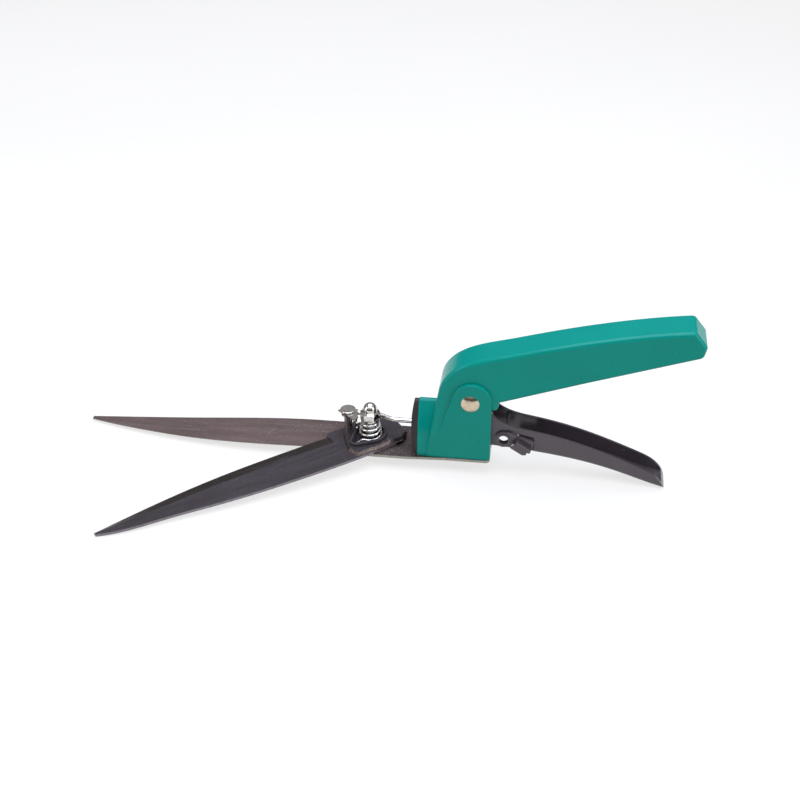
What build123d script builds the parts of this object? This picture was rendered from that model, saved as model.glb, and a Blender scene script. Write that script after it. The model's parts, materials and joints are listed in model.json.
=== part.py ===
from build123d import *
import os
from math import atan2, cos, degrees, pi, radians, sin

# Single-handed grass shears.
# Frame: the origin is on the blade bolt's axis at the underside of the base plate,
# +X runs back to the handle, +Z is up, and the open blade swings out towards -Y.
# All lengths are in millimetres.

# ---------------------------------------------------------------- driving dimensions
SHEET = 1.6                     # steel of both blades and the base plate
SHEAR_GAP = 0.2                 # running gap between the two blades
REACH = 165.3                   # bolt axis to either blade tip
PLATE_HALF = 15.0               # half width of the base plate and of the moving heel
PLATE_WAIST = 13.6              # half width of the plate under the handle
PLATE_REAR = 69.0
OPEN_ANGLE = 38.9               # how far the moving blade stands open
LAND = 0.35                     # upright strip left at each cutting edge

HEEL_TOP = 5.0                  # raised heel of the moving blade
SPRING_SEAT = 3.9               # floor of the heel's recess under the spring
NUT_BASE = 16.5
NUT_FLATS = 10.0                # M6 acorn nut
STUD_R = 3.0
STUD_IN_NUT = 6.0
WASHER_T = 0.8
CUP_HEIGHT = 1.5
POCKET_R = 7.9                  # spring's pocket in the cup and the heel
POCKET_TAIL_R = 2.3             # its end, round the spring's tail
SPRING_WIRE = 0.72              # radius of the wire
SPRING_TURNS = 3.5
SPRING_FOOT = 6.3
SPRING_HEAD = 4.5
FIT = 0.06                      # radial clearance of a running pin

BLOCK_HALF = 13.1               # half width of the handle's block and pivot bosses
GRIP_HALF = 10.4
COLLAR_FRONT = 28.0
CORE_REAR = 67.3                # rear face of the block under the grip
CAVITY_HALF = 8.6
FLOOR_TOP = 6.6

PIVOT = (57.5, 38.4)            # squeeze lever's rivet, in X and Z
PIVOT_R = 3.0
LEVER_HALF = 8.0
LEVER_WALL = 1.4
LEVER_SWEEP = 10.9              # room round the rivet for the lever's hub
LEVER_TIP = (166.4, -13.2)      # curled-down end, in X and Z

PIN_POS = (-13.6, 5.0)          # link pin on the moving blade, in X and Y
PIN_R = 2.35
ROD_R = 1.4
ROD_Y = 2.5
ROD_Z = 14.1
CRANK = (54.8, ROD_Z)           # crank pin in the lever, in X and Z
CRANK_R = 2.0
CRANK_SLACK = 0.9               # lengthwise play of the rod's rear eye on the crank pin

LATCH = (76.1, 13.9)            # latch eyelet, in X and Z
EYELET_WALL = 0.5
CROSS_PIN = (78.0, 20.6)
CROSS_PIN_R = 1.0
LATCH_BORE = 2.8

SCREW_Y = 10.5
SCREW_X = (37.0, 63.0)
SCREW_R = 1.45
SCREW_END = 10.5
CLIP_TOP = 16.6                 # clip under the link pin's head
CLIP_T = 0.8                    # thin enough to clear the wire below it

MOVING_Z = SHEET + SHEAR_GAP
MOVING_TOP = MOVING_Z + SHEET
ABOVE_PLATE = SHEET + 0.1       # edges above this are not on the base plate
THROUGH = 20.0                  # half length of a tool that cuts right through
NEAR = 0.01                     # tolerance when an edge is picked by its place
OVERLAP = 0.1                   # how far joined solids run into each other
SIDE = Plane.XZ                 # sketches in X and Z, extruded along Y
SECTION = Plane.YZ              # sketches in Y and Z, extruded along X


# ---------------------------------------------------------------- helpers
def outline(*pieces):
    """Face bounded by lines, arcs and splines that join end to end."""
    return make_face(Curve() + list(pieces))


def slab(face, bottom, top):
    """A plan outline given thickness between two heights."""
    return extrude(Pos(0, 0, bottom) * face, top - bottom)


def across(face, low, high):
    """A side outline (X, Z) given width from Y = low to Y = high."""
    return extrude(SIDE.offset(-high) * face, high - low)


def lengthwise(face, front, rear):
    """A section outline (Y, Z) given length from X = front to X = rear."""
    return extrude(SECTION.offset(front) * face, rear - front)


def disc(radius, low, high, at=(0.0, 0.0)):
    """Upright cylinder."""
    standing = (Align.CENTER, Align.CENTER, Align.MIN)
    return Pos(at[0], at[1], low) * Cylinder(radius, high - low, align=standing)


def cross_disc(radius, low, high, at):
    """Cylinder whose axis lies along Y, at (X, Z)."""
    return across(Pos(at[0], at[1]) * Circle(radius), low, high)


def bore(radius, at, low=-THROUGH, high=THROUGH):
    """Tool for a hole along Y at (X, Z)."""
    return cross_disc(radius, low, high, at)


def box(low, high):
    """Block between two opposite corners."""
    size = [b - a for a, b in zip(low, high)]
    return Pos(*low) * Box(*size, align=(Align.MIN, Align.MIN, Align.MIN))


# ---------------------------------------------------------------- blades
def blade_face(edge, back, root):
    """Plan outline between a cutting (or bevel) edge and the back, both listed from the blunt tip."""
    edge_root = (root, edge[-1][1])
    back_root = (root, back[-1][1])
    return outline(Spline(*edge), Line(edge[-1], edge_root), Line(edge_root, back_root),
                   Line(back_root, back[-1]), Spline(*back), Line(back[0], edge[0]))


def ground_blade(cut, bevel, back, root, flat_z, face_z):
    """Blade with a thin land at the cutting edge and a ruled bevel to the other face."""
    land_z = flat_z + LAND if face_z > flat_z else flat_z - LAND
    lower = blade_face(cut, back, root)
    upper = blade_face(bevel, back, root)
    land = slab(lower, min(flat_z, land_z), max(flat_z, land_z))
    return land + loft([Pos(0, 0, land_z) * lower, Pos(0, 0, face_z) * upper], ruled=True)


def fixed_blade():
    root, corner_r = -22.0, 2.5
    cut = [(-REACH, 0.4), (-150, -3.4), (-128, -7.6), (-103, -11.0), (-80, -12.3), (-26, -11.3)]
    bevel = [(-REACH, 2.2), (-128, -2.6), (-68, -5.6), (-26, -5.6)]
    back = [(-REACH, 3.0), (-132, 6.0), (-103, 8.9), (-71, 12.6), (-26, 15.0)]
    blade = ground_blade(cut, bevel, back, root, flat_z=SHEET, face_z=0.0)
    side = [(22, PLATE_HALF), (44, PLATE_WAIST), (PLATE_REAR, PLATE_WAIST)]
    near = [(x, -y) for x, y in reversed(side)]
    plate = make_face(Polyline((root, 15.0), *side, *near, (-20, -PLATE_HALF), (-23, -11.5), (root, 15.0)))
    plate = fillet(plate.vertices().group_by(Axis.X)[-1], corner_r)
    body = blade + slab(plate, 0, SHEET)
    body -= stud_head()
    for x in SCREW_X:
        for y in (-SCREW_Y, SCREW_Y):
            body -= Pos(x, y, 0) * screw_blank()
    return body


def cup_outline(main_r, tail_r):
    """Round seat with a pocket for the spring's tail, in the closed blade's axes."""
    tail = (-11.3, -3.0)
    return make_hull((Circle(main_r) + Pos(*tail) * Circle(tail_r)).edges())


def heel_pad():
    """Raised heel: step across the blade, flanks drawn in towards the top."""
    flank_draft, corner_r = 35, 2.0
    foot = Polyline((-10.5, 14.6), (-16.2, 1.0), (-18.2, -6.0), (-16.0, -13.4), (14.0, -12.6),
                    (19.5, -8.5), (20.4, 2.0), (17.0, 11.0), (8.0, 14.6), (-10.5, 14.6))
    face = make_face(foot)
    face = fillet(face.vertices().group_by(Axis.X)[-1], corner_r)
    bottom = MOVING_TOP - OVERLAP
    return extrude(Pos(0, 0, bottom) * face, HEEL_TOP - bottom, taper=flank_draft)


def moving_blade():
    root, corner_r = -21.0, 2.0
    relief_r, relief_x, relief_top = 26.0, 31.0, MOVING_Z + 1.4
    cut = [(-REACH, 1.8), (-146, 5.0), (-117, 9.2), (-87, 12.0), (-57, 13.1), (-26, 13.3)]
    bevel = [(-REACH, 0.2), (-118, 2.9), (-73, 5.4), (-26, 5.6)]
    back = [(-REACH, -0.9), (-160, -2.8), (-129, -7.1), (-96, -10.9), (-61, -13.4), (-26, -14.3)]
    blade = ground_blade(cut, bevel, back, root, flat_z=MOVING_Z, face_z=MOVING_TOP)
    heel = make_face(Polyline((root, 13.3), (-20, 15.3), (6, 15.3), (17.5, 10.8), (20.4, 2.0), (19.6, -6.5),
                              (13.4, -13.5), (root, -14.3), (root, 13.3)))
    heel = fillet(heel.vertices().group_by(Axis.X)[-1], corner_r)
    body = blade + slab(heel, MOVING_Z, MOVING_TOP) + heel_pad()
    body -= disc(relief_r, 0, relief_top, (relief_x, 0))
    body -= slab(cup_outline(POCKET_R, POCKET_TAIL_R), SPRING_SEAT, HEEL_TOP + 1)
    body -= disc(STUD_R + FIT, 0, HEEL_TOP + 1)
    body -= disc(PIN_R, 0, HEEL_TOP + 1, rotated(PIN_POS, -OPEN_ANGLE))
    return opened(body)


def rotated(point, angle):
    """A plan point turned about the bolt, in degrees."""
    c, s = cos(radians(angle)), sin(radians(angle))
    return (point[0] * c - point[1] * s, point[0] * s + point[1] * c)


def opened(part):
    """Swing a part drawn with the blades closed out to the open rest position."""
    return Rot(0, 0, OPEN_ANGLE) * part


# ---------------------------------------------------------------- blade pivot
def stud_head():
    """Countersunk head, flush with the plate's underside."""
    return Pos(0, 0, SHEET / 2) * Cone(STUD_R + SHEET, STUD_R, SHEET)


def pivot_stud():
    return stud_head() + disc(STUD_R, SHEET, NUT_BASE + STUD_IN_NUT)


def spring_cup():
    cup_wall, rim_r, top = 1.6, 0.6, HEEL_TOP + CUP_HEIGHT
    wall = slab(cup_outline(POCKET_R + cup_wall, POCKET_TAIL_R + cup_wall), HEEL_TOP, top)
    rim = wall.faces().sort_by(Axis.Z)[-1].edges()
    wall = fillet(rim, rim_r)
    pocket = slab(cup_outline(POCKET_R, POCKET_TAIL_R), HEEL_TOP - 1, top + 1)
    return opened(wall - pocket)


def polar(radius, angle):
    """Plan point at a radius and an angle in degrees about the bolt."""
    return (radius * cos(radians(angle)), radius * sin(radians(angle)))


def blade_spring():
    """Conical pressure spring whose tail turns out into the cup's pocket."""
    low = SPRING_SEAT + SPRING_WIRE + 0.05
    rise = NUT_BASE - WASHER_T - 0.1 - SPRING_WIRE - low
    start_angle, bend_angle, tail_end = 262.0, 236.0, 13.0
    lean = degrees(atan2(SPRING_HEAD - SPRING_FOOT, rise))
    coil = Helix(rise / SPRING_TURNS, rise, SPRING_FOOT, center=(0, 0, low), cone_angle=lean)
    coil = Rot(0, 0, start_angle) * coil
    wire = sweep(Plane(origin=coil @ 0, z_dir=coil % 0) * Circle(SPRING_WIRE), path=coil, is_frenet=True)
    bend_r = SPRING_FOOT / cos(radians(start_angle - bend_angle))
    corners = [(*polar(tail_end, bend_angle), low), (*polar(bend_r, bend_angle), low),
               (*polar(SPRING_FOOT, start_angle), low)]
    tail = FilletPolyline(*corners, radius=1.6)
    tail_wire = sweep(Plane(origin=tail @ 0, z_dir=tail % 0) * Circle(SPRING_WIRE), path=tail)
    knuckle = Pos(*corners[-1]) * Sphere(SPRING_WIRE)
    return wire + tail_wire + knuckle


def nut_washer():
    outer = 5.6
    return disc(outer, NUT_BASE - WASHER_T, NUT_BASE) - disc(STUD_R, 0, NUT_BASE + OVERLAP)


def acorn_nut():
    """Hexagon with chamfered corners and a round dome over the blind bore."""
    hex_top, chamfer, dome_r, collar = NUT_BASE + 4.6, 1.2, 4.1, 0.7
    hexagon = slab(RegularPolygon(NUT_FLATS / 2, 6, major_radius=False), NUT_BASE, hex_top)
    corner_r = NUT_FLATS / 2 / cos(pi / 6) + 0.05
    turned = disc(corner_r, NUT_BASE, hex_top - chamfer)
    turned += Pos(0, 0, hex_top - chamfer / 2) * Cone(corner_r, dome_r + 0.1, chamfer)
    dome = disc(dome_r, hex_top - chamfer, hex_top + collar) + Pos(0, 0, hex_top + collar) * Sphere(dome_r)
    return (hexagon & turned) + dome - disc(STUD_R, NUT_BASE - 1, NUT_BASE + STUD_IN_NUT)


# ---------------------------------------------------------------- link
def link_pin():
    head_r, head_t, round_r = 4.5, 1.1, 0.5
    head = disc(head_r, CLIP_TOP, CLIP_TOP + head_t, PIN_POS)
    head = fillet(head.edges().group_by(Axis.Z)[-1], round_r)
    return head + disc(PIN_R, MOVING_TOP - 0.15, CLIP_TOP, PIN_POS)


def link_bracket():
    """Square-cornered clip under the pin's head, with one leg down to the heel."""
    plate = Polyline((-19.3, 4.8), (-8.5, -4.0), (-6.7, -1.0), (-8.6, 4.6), (-13.6, 9.6), (-19.3, 4.8))
    top = slab(make_face(plate), CLIP_TOP - CLIP_T, CLIP_TOP) - disc(PIN_R, 0, CLIP_TOP + 1, PIN_POS)
    leg = Polyline((-7.6, 0.6), (-9.6, 2.9), (-10.3, 2.3), (-8.3, 0.0), (-7.6, 0.6))
    return top + slab(make_face(leg), HEEL_TOP + CUP_HEIGHT + 0.1, CLIP_TOP - CLIP_T + 0.1)


def link_rod():
    """Wire that bows round the bolt, flattened to an eye at each end."""
    route = [(-8.9, 6.9), (-1.0, 8.7), (12.2, ROD_Y), (50.5, ROD_Y)]
    path = FilletPolyline(*[(x, y, ROD_Z) for x, y in route], radius=6.0)
    start = Plane(origin=path @ 0, z_dir=path % 0)
    wire = sweep(start * Circle(ROD_R), path=path)
    eye_low, eye_high = ROD_Z + 0.15, ROD_Z + 1.35
    front_r, rear_r, rear_half, clear = 3.9, 4.6, 1.1, 0.35
    front = disc(front_r, eye_low, eye_high, PIN_POS)
    neck = make_face(Polyline((-14.2, 8.8), (-12.8, 1.3), (-7.8, 5.7), (-8.4, 8.5), (-14.2, 8.8)))
    front += slab(neck, eye_low, eye_high)
    front -= disc(PIN_R + FIT, 0, THROUGH, PIN_POS)
    rear = cross_disc(rear_r, ROD_Y - rear_half, ROD_Y + rear_half, CRANK)
    slot = SlotCenterToCenter(CRANK_SLACK * 2, 2 * (CRANK_R + clear))
    rear -= across(Pos(*CRANK) * slot, -THROUGH, THROUGH)
    return wire + front + rear


# ---------------------------------------------------------------- handle
def grip_profile():
    """Side outline of the moulding: raked block front, arched grip, cut-off end."""
    front_low = (32.4, SHEET)
    front_high = (39.9, 44.0)
    top_end, end_high, end_low = (173.0, 89.6), (179.9, 80.9), (178.4, 74.2)
    root_high, root_low = (72.9, 38.5), (72.7, 33.5)
    crown = Spline(front_high, (42.0, 50.0), (47.2, 56.5), (58, 62.8), (75, 67.9), (93, 73.0), (134, 83.2),
                   top_end)
    tail = Polyline(top_end, end_high, end_low, root_high, root_low, (CORE_REAR, root_low[1]),
                    (CORE_REAR, SHEET), front_low)
    face = outline(Line(front_low, front_high), crown, tail)
    rounding = {top_end: 3.0, end_high: 3.0, end_low: 3.4, root_high: 1.5, root_low: 2.4}
    for corner, radius in rounding.items():
        vertex = face.vertices().sort_by_distance((*corner, 0))[0]
        face = fillet(vertex, radius)
    return face


def width_profile():
    """Front view of the moulding's width: wide block, drafted in to the slimmer grip."""
    draft_low, draft_high, top, blend_r = 15.0, 56.0, 96.0, 60.0
    flank = [(BLOCK_HALF, SHEET), (BLOCK_HALF, draft_low), (GRIP_HALF, draft_high), (GRIP_HALF, top)]
    face = make_face(Polyline((0, SHEET), *flank, (0, top), (0, SHEET)))
    bends = [v for v in face.vertices() if draft_low - 1 < v.Y < draft_high + 1]
    face = fillet(bends, blend_r)
    return face + mirror(face, Plane.YZ)


def boss_profile():
    """Pivot boss: round top, upright rear edge, front edge sloping down to the block."""
    centre, radius, lean, rake = (58.3, 39.6), 10.8, radians(162), 0.325
    left = (centre[0] + radius * cos(lean), centre[1] + radius * sin(lean))
    right = (centre[0] + radius, centre[1])
    top = (centre[0], centre[1] + radius)
    foot = (left[0] - (left[1] - SHEET) * rake, SHEET)
    return outline(Line(foot, left), ThreePointArc(left, top, right), Line(right, (right[0], SHEET)),
                   Line((right[0], SHEET), foot))


def collar_face(inset=0.0):
    """Pointed arch: two leaning sides that meet in a small round crest."""
    foot, flank, peak, crest_r = (12.5, SHEET), (9.2, 17.6), (0, 33.6 - inset), 2.4
    sides = []
    for side in (1, -1):
        low = (side * (foot[0] - inset), foot[1])
        middle = (side * (flank[0] - inset), flank[1])
        sides.append(ThreePointArc(low, middle, peak))
    face = outline(*sides, Line(sides[0] @ 0, sides[1] @ 0))
    return fillet(face.vertices().group_by(Axis.Y)[-1], crest_r)


def rod_slot():
    """Room for the link wire through the nose cap and the collar."""
    front, rear, near_side, low, high = 20.0, 41.0, 0.2, 12.0, 16.3
    return box((front, near_side, low), (rear, CAVITY_HALF, high))


def grip_core():
    """Block and grip in one, with their outer rims rounded."""
    core = across(grip_profile(), -THROUGH, THROUGH) & lengthwise(width_profile(), 20, 190)
    block_rear, grip_underside, rim_r = 66, 33.6, 2.2
    rims = []
    for edge in core.edges():
        middle = edge.center()
        outer = abs(middle.Y) > GRIP_HALF - 1.4 and middle.Z > ABOVE_PLATE
        lengthwise_line = edge.geom_type == GeomType.LINE and abs(edge.tangent_at(0.5).X) > 0.999
        exposed = middle.X < block_rear or middle.Z > grip_underside
        if outer and exposed and not lengthwise_line:
            rims.append(edge)
    return fillet(rims, rim_r)


def pivot_boss():
    rim_r = 0.7
    boss = across(boss_profile(), -BLOCK_HALF, BLOCK_HALF)
    rims = [e for e in boss.edges()
            if abs(abs(e.center().Y) - BLOCK_HALF) < NEAR and e.center().Z > ABOVE_PLATE]
    return fillet(rims, rim_r)


def collar():
    rear, mouth_r = 42, 0.8
    body = lengthwise(collar_face(), COLLAR_FRONT, rear)
    mouth = [e for e in body.edges()
             if abs(e.center().X - COLLAR_FRONT) < NEAR and e.center().Z > ABOVE_PLATE]
    return fillet(mouth, mouth_r)


def handle_body():
    cavity_front, cavity_rear, cavity_top = 40.5, 71.0, 37.6
    body = grip_core() + pivot_boss() + collar()
    body -= box((cavity_front, -CAVITY_HALF, FLOOR_TOP), (cavity_rear, CAVITY_HALF, cavity_top))
    body -= cross_disc(LEVER_SWEEP, -CAVITY_HALF, CAVITY_HALF, PIVOT)
    body -= rod_slot()
    body -= bore(PIVOT_R, PIVOT)
    for x in SCREW_X:
        for y in (-SCREW_Y, SCREW_Y):
            body -= disc(SCREW_R, 0, SCREW_END + OVERLAP, (x, y))
    return body


def nose_cap():
    """Black end piece over the collar's mouth, crowned towards the blades."""
    front, crown_r, middle, rim_r = 23.9, 62.0, 17.0, 0.8
    cap = lengthwise(collar_face(inset=0.6), front, COLLAR_FRONT)
    cap &= Pos(front + crown_r, 0, middle) * Sphere(crown_r)
    rim = [e for e in cap.edges() if e.center().X < COLLAR_FRONT - 0.3 and e.center().Z > ABOVE_PLATE
           and e.geom_type != GeomType.LINE]
    cap = fillet(rim, rim_r)
    return cap - rod_slot()


def screw_blank():
    """Countersunk self-tapping screw, head flush with Z = 0."""
    head_t = 1.4
    head = Pos(0, 0, head_t / 2) * Cone(SCREW_R + head_t, SCREW_R, head_t)
    return head + disc(SCREW_R, head_t, SCREW_END)


def handle_screws():
    slot_long, slot_wide, slot_deep = 3.2, 0.6, 0.8
    recess = Box(slot_long, slot_wide, slot_deep) + Box(slot_wide, slot_long, slot_deep)
    screw = screw_blank() - Pos(0, 0, slot_deep / 2) * recess
    return [Pos(x, y, 0) * screw for x in SCREW_X for y in (-SCREW_Y, SCREW_Y)]


def pivot_rivet():
    shank = cross_disc(PIVOT_R, -BLOCK_HALF, BLOCK_HALF, PIVOT)
    head_r, rise = 5.0, 1.6
    ball = (head_r ** 2 + rise ** 2) / (2 * rise)
    dome = Sphere(ball) & box((-9, -9, ball - rise), (9, 9, 9 + ball))
    dome = Pos(0, 0, rise - ball) * dome
    near = Pos(PIVOT[0], -BLOCK_HALF, PIVOT[1]) * Rot(90, 0, 0) * dome
    far = mirror(near, Plane.XZ)
    return shank + near + far


# ---------------------------------------------------------------- squeeze lever
def lever_face():
    """Side outline of the lever's cheeks, from the hub to the curled-down end."""
    hub_r = 7.6
    hub_front = (PIVOT[0] - hub_r, PIVOT[1])
    hub_top = (PIVOT[0], PIVOT[1] + hub_r)
    hub_rear = (PIVOT[0] + hub_r * cos(radians(20)), PIVOT[1] + hub_r * sin(radians(20)))
    neck = (70.1, 28.2)
    top = Spline(neck, (78, 23.0), (92.5, 19.4), (111, 15.2), (132.5, 8.0), (150, 0.8), (160.5, -4.9),
                 LEVER_TIP)
    belly = (69.3, 7.6)
    bottom = Spline(LEVER_TIP, (158.5, -10.9), (141.5, -5.0), (119, 1.2), (96.6, 4.9), belly)
    heel = (50.6, 8.4)
    front = (49.4, 11.0)
    return outline(ThreePointArc(hub_front, hub_top, hub_rear), Line(hub_rear, neck), top, bottom,
                   Line(belly, heel), Line(heel, front), Line(front, hub_front))


def channel_room():
    """Side outline of the space between the cheeks, above the web."""
    rear, step = (164.6, -10.6), (84, 7.6)
    floor = Spline(rear, (157.9, -9.3), (141.0, -3.5), (118.7, 2.7), (96.4, 6.3), step)
    below, above, ahead = -20, 60, 40
    clear = Polyline(step, (step[0], below), (ahead, below), (ahead, above), (rear[0], above), rear)
    return outline(floor, clear)


def squeeze_lever():
    keel_r = 2.6
    body = across(lever_face(), -LEVER_HALF, LEVER_HALF)
    keel = [e for e in body.edges() if e.geom_type == GeomType.BSPLINE and e.length > 60
            and abs(abs(e.center().Y) - LEVER_HALF) < NEAR and (e @ 0.5).Z < FLOOR_TOP]
    body = fillet(keel, keel_r)
    room = across(channel_room(), LEVER_WALL - LEVER_HALF, LEVER_HALF - LEVER_WALL)
    body -= room
    window = make_face(Polyline((80.6, 18.6), (93.0, 15.6), (93.0, 0), (80.6, 0), (80.6, 18.6)))
    body -= across(window, -LEVER_HALF - 1, LEVER_WALL - LEVER_HALF + 0.5)
    body -= bore(PIVOT_R + FIT, PIVOT)
    body -= bore(CRANK_R, CRANK)
    body -= bore(LATCH_BORE + EYELET_WALL, LATCH, high=0)
    body -= bore(CROSS_PIN_R, CROSS_PIN)
    return body


def lever_bush():
    half = LEVER_HALF - LEVER_WALL
    outer = 5.0
    return cross_disc(outer, -half, half, PIVOT) - bore(PIVOT_R + FIT, PIVOT)


def lever_washers():
    outer, thick = 7.0, 0.4
    washer = cross_disc(outer, LEVER_HALF, LEVER_HALF + thick, PIVOT) - bore(PIVOT_R + FIT, PIVOT)
    return [washer, mirror(washer, Plane.XZ)]


def crank_pin():
    return cross_disc(CRANK_R, -LEVER_HALF, LEVER_HALF, CRANK)


def cross_pin():
    return cross_disc(CROSS_PIN_R, -LEVER_HALF, LEVER_HALF, CROSS_PIN)


# ---------------------------------------------------------------- lock latch
def latch_eyelet():
    outer_y, inner_y, flange_r, flange_t = -9.9, -6.2, 3.9, 0.4
    tube = cross_disc(LATCH_BORE + EYELET_WALL, outer_y, inner_y, LATCH)
    flanges = cross_disc(flange_r, outer_y, outer_y + flange_t, LATCH)
    flanges += cross_disc(flange_r, inner_y - flange_t, inner_y, LATCH)
    return tube + flanges - bore(LATCH_BORE, LATCH, high=0)


def lock_latch():
    """Ring and arm of sheet steel, with a thumb tab bent out along the arm's lower edge and down again."""
    sheet = 1.0
    inner_y, outer_y, tab_y = -8.4, -9.4, -12.8
    arm = make_face(Polyline((75.4, 18.7), (79.0, 18.9), (93.1, 13.5), (92.2, 8.6), (84.5, 13.4),
                             (80.4, 10.2), (75.4, 18.7)))
    ring_r = 4.9
    plate = cross_disc(ring_r, outer_y, inner_y, LATCH) + across(arm, outer_y, inner_y)
    plate -= bore(LATCH_BORE + EYELET_WALL + FIT, LATCH, high=0)
    bend_start, bend_end = (83.7, 14.9), (91.6, 9.5)
    web = Polyline(bend_start, bend_end, (91.0, 8.6), (83.1, 14.0), bend_start)
    lip = Polyline(bend_start, bend_end, (90.9, 8.0), (89.4, 8.4), (88.9, 6.8), (86.8, 6.6), (80.2, 10.9),
                   bend_start)
    tab = across(make_face(web), tab_y, inner_y) + across(make_face(lip), tab_y, tab_y + sheet)
    bend_r = 0.7
    bend = [e for e in tab.edges()
            if abs(e.center().Y - tab_y) < NEAR and e.center().Z > 12 and e.length > 9]
    return plate + fillet(bend, bend_r)


# ---------------------------------------------------------------- write the pieces
def main():
    os.makedirs("parts", exist_ok=True)
    pieces = {
        "handle_body": [handle_body()],
        "nose_cap": [nose_cap()],
        "fixed_blade": [fixed_blade()],
        "handle_screws": handle_screws(),
        "pivot_stud": [pivot_stud()],
        "nut_washer": [nut_washer()],
        "acorn_nut": [acorn_nut()],
        "pivot_rivet": [pivot_rivet()],
        "moving_blade": [moving_blade()],
        "spring_cup": [spring_cup()],
        "blade_spring": [blade_spring()],
        "link_pin": [link_pin()],
        "link_bracket": [link_bracket()],
        "link_rod": [link_rod()],
        "squeeze_lever": [squeeze_lever()],
        "lever_bush": [lever_bush()],
        "lever_washers": lever_washers(),
        "crank_pin": [crank_pin()],
        "cross_pin": [cross_pin()],
        "latch_eyelet": [latch_eyelet()],
        "lock_latch": [lock_latch()],
    }
    for name, solids in pieces.items():
        shape = solids[0] if len(solids) == 1 else Compound(children=solids)
        export_step(shape, "parts/%s.step" % name)


main()
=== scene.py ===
import bpy
import json
import math
from mathutils import Matrix, Vector


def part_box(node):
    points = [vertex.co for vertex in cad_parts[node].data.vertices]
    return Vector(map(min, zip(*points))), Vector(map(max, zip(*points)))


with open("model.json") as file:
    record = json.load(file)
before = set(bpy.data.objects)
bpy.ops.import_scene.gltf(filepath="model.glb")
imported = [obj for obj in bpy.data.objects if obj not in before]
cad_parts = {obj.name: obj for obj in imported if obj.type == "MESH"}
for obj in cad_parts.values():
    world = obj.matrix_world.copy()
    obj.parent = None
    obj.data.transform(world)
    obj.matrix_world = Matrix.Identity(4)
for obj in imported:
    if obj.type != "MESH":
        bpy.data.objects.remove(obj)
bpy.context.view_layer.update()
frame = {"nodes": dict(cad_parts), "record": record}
scene = bpy.context.scene


OPENING = math.radians(38.9)        # how far the moving blade stands open at rest
CROSS_TURN = 0.35                   # blade scratches that run across the others, in radians
PAINTED_SHADE_FROM_TO = (-0.040, 0.004)      # where the blades' painted shade and painted dark reflection towards the bolt begin and finish, in X


# ---------------------------------------------------------------- shader building blocks
class Shader:
    """One node material; every helper returns an output socket that the next one can take."""

    def __init__(self, name):
        self.material = bpy.data.materials.new(name)
        self.material.use_nodes = True
        self.tree = self.material.node_tree
        self.surface = self.tree.nodes["Principled BSDF"]
        self.place = self.add("ShaderNodeTexCoord").outputs["Object"]

    def add(self, kind, inputs=None, **settings):
        node = self.tree.nodes.new(kind)
        for key, value in settings.items():
            setattr(node, key, value)
        for key, value in (inputs or {}).items():
            if isinstance(value, bpy.types.NodeSocket):
                self.tree.links.new(value, node.inputs[key])
            else:
                node.inputs[key].default_value = value
        return node

    def noise(self, scale, detail=3.0, rough=0.5, stretch=(1, 1, 1), turn=0.0):
        """Cloudy noise, scale in cells per metre; stretch and turn draw it out into scratches."""
        spin = self.add("ShaderNodeMapping", {"Vector": self.place, "Rotation": (0, 0, turn)})
        draw = self.add("ShaderNodeMapping", {"Vector": spin.outputs[0], "Scale": stretch})
        return self.add("ShaderNodeTexNoise", {"Vector": draw.outputs[0], "Scale": scale, "Detail": detail,
                                               "Roughness": rough}).outputs["Fac"]

    def ramp(self, value, low, high, out_low=0.0, out_high=1.0):
        """Smooth step of value from low..high to out_low..out_high."""
        return self.add("ShaderNodeMapRange", {"Value": value, "From Min": low, "From Max": high,
                                               "To Min": out_low, "To Max": out_high},
                        interpolation_type="SMOOTHSTEP").outputs[0]

    def mix(self, share, first, second):
        """Colour mix; first and second are colours or sockets."""
        node = self.add("ShaderNodeMix", {0: share}, data_type="RGBA")
        for index, value in ((6, first), (7, second)):
            if isinstance(value, bpy.types.NodeSocket):
                self.tree.links.new(value, node.inputs[index])
            else:
                node.inputs[index].default_value = (*value, 1)
        return node.outputs[2]

    def maths(self, operation, first, second):
        return self.add("ShaderNodeMath", {0: first, 1: second}, operation=operation).outputs[0]

    def bump(self, height, distance, strength=1.0, under=None):
        inputs = {"Height": height, "Distance": distance, "Strength": strength}
        if under is not None:
            inputs["Normal"] = under
        return self.add("ShaderNodeBump", inputs).outputs[0]

    def level(self):
        """How far the surface faces up or down: 1 flat, 0 upright."""
        normal = self.add("ShaderNodeNewGeometry").outputs["True Normal"]
        upward = self.add("ShaderNodeSeparateXYZ", {0: normal}).outputs["Z"]
        return self.add("ShaderNodeMath", {0: upward}, operation="ABSOLUTE").outputs[0]

    def finish(self, colour, roughness, normal, **uniform):
        for key, value in (("Base Color", colour), ("Roughness", roughness), ("Normal", normal)):
            self.tree.links.new(value, self.surface.inputs[key])
        for key, value in uniform.items():
            self.surface.inputs[key.replace("_", " ")].default_value = value
        return self.material


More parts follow.
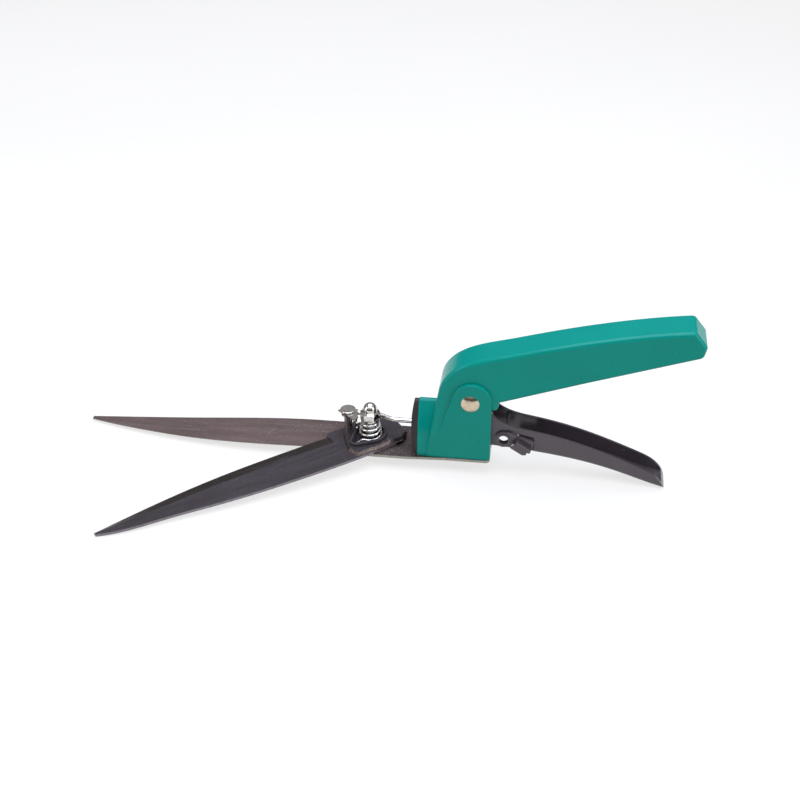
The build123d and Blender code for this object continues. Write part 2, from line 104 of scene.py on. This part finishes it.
def moulded_plastic(name, shades, rough, dust, grain):
    """Injection-moulded plastic: slow tone drift, faint flow waviness, fine grain and handling scratches."""
    s = Shader(name)
    drift = s.ramp(s.noise(38, 2), 0.35, 0.65)
    scratches = s.ramp(s.noise(900, 2, 0.6, (0.05, 1, 1), 0.5), 0.66, 0.78)
    other_way = s.ramp(s.noise(700, 2, 0.6, (1, 1, 0.06), 0.2), 0.68, 0.80)
    marks = s.maths("MAXIMUM", scratches, other_way)
    worn = s.maths("MULTIPLY", marks, s.ramp(s.noise(25, 2), 0.45, 0.65, 0.0, 0.5))
    colour = s.mix(drift, shades[0], shades[1])
    colour = s.mix(worn, colour, dust)
    roughness = s.maths("ADD", s.ramp(s.noise(260, 4), 0.3, 0.7, rough - 0.04, rough + 0.05),
                        s.maths("MULTIPLY", worn, 0.25))
    waves = s.bump(s.noise(60, 1), 0.00010, 0.3)
    skin = s.bump(s.noise(3200, 2), grain, 0.3, waves)
    return s.finish(colour, roughness, skin, Specular_IOR_Level=0.14)


def sheet_steel(name, flat, ground, edge, speck, along, rough, painted_shade_share=1.0):
    """Rolled blade steel: darker ground bevel, bright cut edges, specks, scratches and painted shade near
    the bolt.

    along is the blade's direction in plan; the last argument is the share of brightness left beside the
    bolt, a painted shade and painted dark reflection."""
    s = Shader(name)
    darker = tuple(0.84 * channel for channel in flat)
    body = s.mix(s.ramp(s.noise(22, 3), 0.35, 0.7), flat, darker)
    level = s.level()
    face_tone = s.mix(s.ramp(level, 0.986, 0.997), ground, body)
    forward = s.add("ShaderNodeSeparateXYZ", {0: s.place}).outputs["X"]
    # painted shade and painted dark reflection: the face tone darkens towards the bolt
    painted_shade_mask = s.ramp(forward, *PAINTED_SHADE_FROM_TO)
    painted_shade_tone = s.add("ShaderNodeMix", {0: painted_shade_mask, 6: face_tone, 7: (painted_shade_share, painted_shade_share, painted_shade_share, 1)},
                   data_type="RGBA", blend_type="MULTIPLY").outputs[2]
    edge_tone = s.mix(s.ramp(s.noise(500, 3), 0.25, 0.5, 0.5, 1.0), ground, edge)
    tone = s.mix(s.ramp(level, 0.15, 0.45), edge_tone, painted_shade_tone)
    specks = s.ramp(s.noise(1500, 2, 0.6), 0.60, 0.70)
    long_marks = s.ramp(s.noise(1500, 3, 0.6, (0.02, 1, 1), along), 0.60, 0.78)
    cross_marks = s.ramp(s.noise(1100, 2, 0.6, (1, 0.03, 1), along + CROSS_TURN), 0.68, 0.80)
    marks = s.maths("MAXIMUM", long_marks, cross_marks)
    patches = s.ramp(s.noise(45, 3), 0.38, 0.60, 0.25, 0.9)
    light = s.maths("MULTIPLY", s.maths("MAXIMUM", specks, marks), patches)
    colour = s.mix(light, tone, speck)
    streaks = s.noise(320, 3, 0.5, (0.1, 1, 1), along)
    roughness = s.maths("ADD", s.ramp(streaks, 0.3, 0.7, rough - 0.06, rough + 0.08),
                        s.maths("MULTIPLY", light, -0.08))
    rolling = s.noise(1500, 3, 0.6, (0.02, 1, 1), along)
    groove = s.bump(s.maths("ADD", rolling, marks), 0.00002, 0.5)
    return s.finish(colour, roughness, groove, Metallic=0.8)


def coated_steel(name, shades, chip, rough):
    """Dipped enamel over sheet steel: orange peel, dust nibs and thin rub marks."""
    s = Shader(name)
    tone = s.mix(s.ramp(s.noise(55, 3), 0.35, 0.65), shades[0], shades[1])
    rubs = s.ramp(s.noise(1000, 3, 0.6, (0.04, 1, 1), 0.15), 0.64, 0.78)
    nibs = s.ramp(s.noise(1800, 1, 0.5), 0.72, 0.80)
    handled = s.ramp(s.noise(60, 2), 0.42, 0.65, 0.05, 0.6)
    worn = s.maths("MULTIPLY", s.maths("MAXIMUM", rubs, nibs), handled)
    colour = s.mix(worn, tone, chip)
    roughness = s.maths("ADD", s.ramp(s.noise(300, 3), 0.3, 0.7, rough - 0.04, rough + 0.06),
                        s.maths("MULTIPLY", worn, 0.2))
    peel = s.bump(s.noise(520, 2), 0.00006, 0.5)
    nib_bump = s.bump(nibs, 0.00003, 0.4, peel)
    return s.finish(colour, roughness, nib_bump, IOR=1.55)


def plated(name, bright, dull, rough):
    """Chrome, nickel or zinc plating: hazy patches, fine polishing lines and tiny pits."""
    s = Shader(name)
    haze = s.ramp(s.noise(420, 4), 0.38, 0.68)
    lines = s.noise(2600, 2, 0.6, (0.15, 1, 1), 0.7)
    pits = s.ramp(s.noise(2100, 1, 0.5), 0.70, 0.78)
    colour = s.mix(s.maths("MAXIMUM", s.maths("MULTIPLY", haze, 0.5), pits), bright, dull)
    roughness = s.maths("ADD", s.ramp(haze, 0, 1, rough, rough + 0.09), s.ramp(lines, 0.4, 0.7, 0.0, 0.05))
    surface = s.bump(s.maths("SUBTRACT", lines, pits), 0.00001, 0.5)
    return s.finish(colour, roughness, surface, Metallic=1.0)


finishes = {
    "green_plastic": moulded_plastic("green_plastic", ((0.0, 0.200, 0.160), (0.0, 0.192, 0.153)), 0.20,
                                     (0.02, 0.30, 0.26), 0.00001),
    "black_plastic": moulded_plastic("black_plastic", ((0.045, 0.038, 0.039), (0.030, 0.026, 0.027)), 0.38,
                                     (0.10, 0.10, 0.10), 0.00004),
    # the plate's last figure is its painted shade beside the bolt, standing in for shadow and dark
    # reflection
    "plate_steel": sheet_steel("plate_steel", flat=(0.205, 0.145, 0.135), ground=(0.14, 0.10, 0.095),
                               edge=(0.28, 0.285, 0.24), speck=(0.44, 0.38, 0.36), along=0.0, rough=0.34,
                               painted_shade_share=0.45),
    "dark_steel": sheet_steel("dark_steel", flat=(0.070, 0.057, 0.063), ground=(0.054, 0.041, 0.037),
                              edge=(0.20, 0.18, 0.20), speck=(0.23, 0.215, 0.225), along=-OPENING,
                              rough=0.36),
    "black_enamel": coated_steel("black_enamel", ((0.052, 0.040, 0.049), (0.044, 0.034, 0.041)),
                                 (0.16, 0.15, 0.16), 0.20),
    "chrome": plated("chrome", (0.66, 0.63, 0.60), (0.36, 0.33, 0.30), 0.09),
    "spring_steel": plated("spring_steel", (0.76, 0.73, 0.70), (0.42, 0.39, 0.36), 0.13),
    "nickel": plated("nickel", (0.60, 0.50, 0.37), (0.44, 0.37, 0.27), 0.17),
    "zinc_steel": plated("zinc_steel", (0.48, 0.48, 0.47), (0.32, 0.32, 0.31), 0.30),
}
slots = {row["node"]: row["material_slot"] for row in frame["record"]["subparts"]}
slots["cross_pin"] = "black_enamel"     # black, like the lever's cheeks
for node, slot in slots.items():
    mesh = frame["nodes"][node].data
    mesh.materials.clear()
    mesh.materials.append(finishes[slot])

# sheet metal never has razor edges: the lever's and the latch's are broken by a fine radius
for node, radius in (("squeeze_lever", 0.00035), ("lock_latch", 0.00020)):
    edge = frame["nodes"][node].modifiers.new("broken_edges", "BEVEL")
    edge.width = radius
    edge.segments = 2
    edge.limit_method = "ANGLE"
    edge.angle_limit = math.radians(50)
    edge.use_clamp_overlap = True


# ---------------------------------------------------------------- studio
def studio_camera():
    """Looks down on the open side of the shears, a little from the handle's end."""
    azimuth, elevation, roll = math.radians(8.24), math.radians(33.70), math.radians(-0.74)
    aim, distance = Vector((0.01495, 0.01513, 0.01924)), 0.75887
    back = Vector((math.sin(azimuth) * math.cos(elevation), -math.cos(azimuth) * math.cos(elevation),
                   math.sin(elevation)))
    right = Vector((math.cos(azimuth), math.sin(azimuth), 0))
    up = back.cross(right)
    rolled_right = right * math.cos(roll) + up * math.sin(roll)
    rolled_up = up * math.cos(roll) - right * math.sin(roll)
    data = bpy.data.cameras.new("camera")
    data.sensor_width = 36.0
    data.lens = 59.64
    data.clip_start, data.clip_end = 0.01, 20
    camera = bpy.data.objects.new("camera", data)
    scene.collection.objects.link(camera)
    turn = Matrix((rolled_right, rolled_up, back)).transposed()
    camera.matrix_world = Matrix.Translation(aim + back * distance) @ turn.to_4x4()
    scene.camera = camera


def area_light(name, place, aim, size, power, tint=(1, 1, 1)):
    """Rectangular lamp that faces its aim; size in metres, power in watts."""
    data = bpy.data.lights.new(name, "AREA")
    data.shape, data.size, data.size_y = "RECTANGLE", size[0], size[1]
    data.energy, data.color = power, tint
    lamp = bpy.data.objects.new(name, data)
    scene.collection.objects.link(lamp)
    lamp.matrix_world = (Matrix.Translation(place)
                         @ (Vector(aim) - Vector(place)).to_track_quat("-Z", "Y").to_matrix().to_4x4())


def pale_floor():
    """Large pale sheet through the three points the shears rest on: both blade tips and the lever's end."""
    fixed, lever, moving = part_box("fixed_blade"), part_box("squeeze_lever"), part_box("moving_blade")
    tip_y, clearance, half = 0.002, 0.0003, 60.0
    still_tip = Vector((fixed[0][0], tip_y, fixed[0][2]))
    open_tip = Vector((moving[0][0], moving[0][1], moving[0][2]))
    lever_end = Vector((lever[1][0], lever[0][1], lever[0][2]))
    normal = (open_tip - still_tip).cross(lever_end - still_tip).normalized()
    if normal.z < 0:
        normal = -normal
    mesh = bpy.data.meshes.new("floor")
    corners = [(-half, -half, 0), (half, -half, 0), (half, half, 0), (-half, half, 0)]
    mesh.from_pydata(corners, [], [(0, 1, 2, 3)])
    floor = bpy.data.objects.new("floor", mesh)
    scene.collection.objects.link(floor)
    floor.matrix_world = (Matrix.Translation(still_tip - normal * clearance)
                          @ normal.to_track_quat("Z", "Y").to_matrix().to_4x4())
    s = Shader("pale_paper")
    tone = s.mix(s.ramp(s.noise(3, 2), 0.3, 0.7), (0.20, 0.189, 0.180), (0.19, 0.180, 0.171))
    roughness = s.ramp(s.noise(50, 2), 0.3, 0.7, 0.75, 0.85)
    tooth = s.bump(s.noise(900, 2), 0.00002)
    paper = s.finish(tone, roughness, tooth, Emission_Color=(1, 1, 1, 1), Emission_Strength=0.72)
    mesh.materials.append(paper)


def soft_sky():
    """Tent of light: bright overhead, dim lower down for contrast on plated parts, pale at the horizon."""
    world = bpy.data.worlds.new("studio")
    scene.world = world
    world.use_nodes = True
    nodes, links = world.node_tree.nodes, world.node_tree.links
    direction = nodes.new("ShaderNodeTexCoord")
    split = nodes.new("ShaderNodeSeparateXYZ")
    ramp = nodes.new("ShaderNodeValToRGB")
    links.new(direction.outputs["Generated"], split.inputs[0])
    links.new(split.outputs["Z"], ramp.inputs[0])
    links.new(ramp.outputs[0], nodes["Background"].inputs["Color"])
    steps = ((0.0, 0.74), (0.035, 0.74), (0.06, 0.03), (0.30, 0.084), (0.55, 0.40), (0.8, 0.42),
             (1.0, 0.23))
    while len(ramp.color_ramp.elements) < len(steps):
        ramp.color_ramp.elements.new(0.5)
    for element, (height, grey) in zip(ramp.color_ramp.elements, steps):
        element.position = height
        element.color = (grey, grey, grey, 1)
    nodes["Background"].inputs["Strength"].default_value = 1.0


soft_sky()
pale_floor()
area_light("overhead", (0.05, 0.0, 1.1), (0, 0, 0), (1.5, 0.9), 19.0, (0.90, 1.0, 1.20))
area_light("left", (-0.95, -0.45, 0.55), (0, 0, 0.03), (0.45, 0.9), 4.5)
area_light("right", (1.05, -0.35, 0.55), (0.05, 0, 0.03), (0.45, 0.9), 6.5)
studio_camera()
scene.view_settings.view_transform = "Standard"
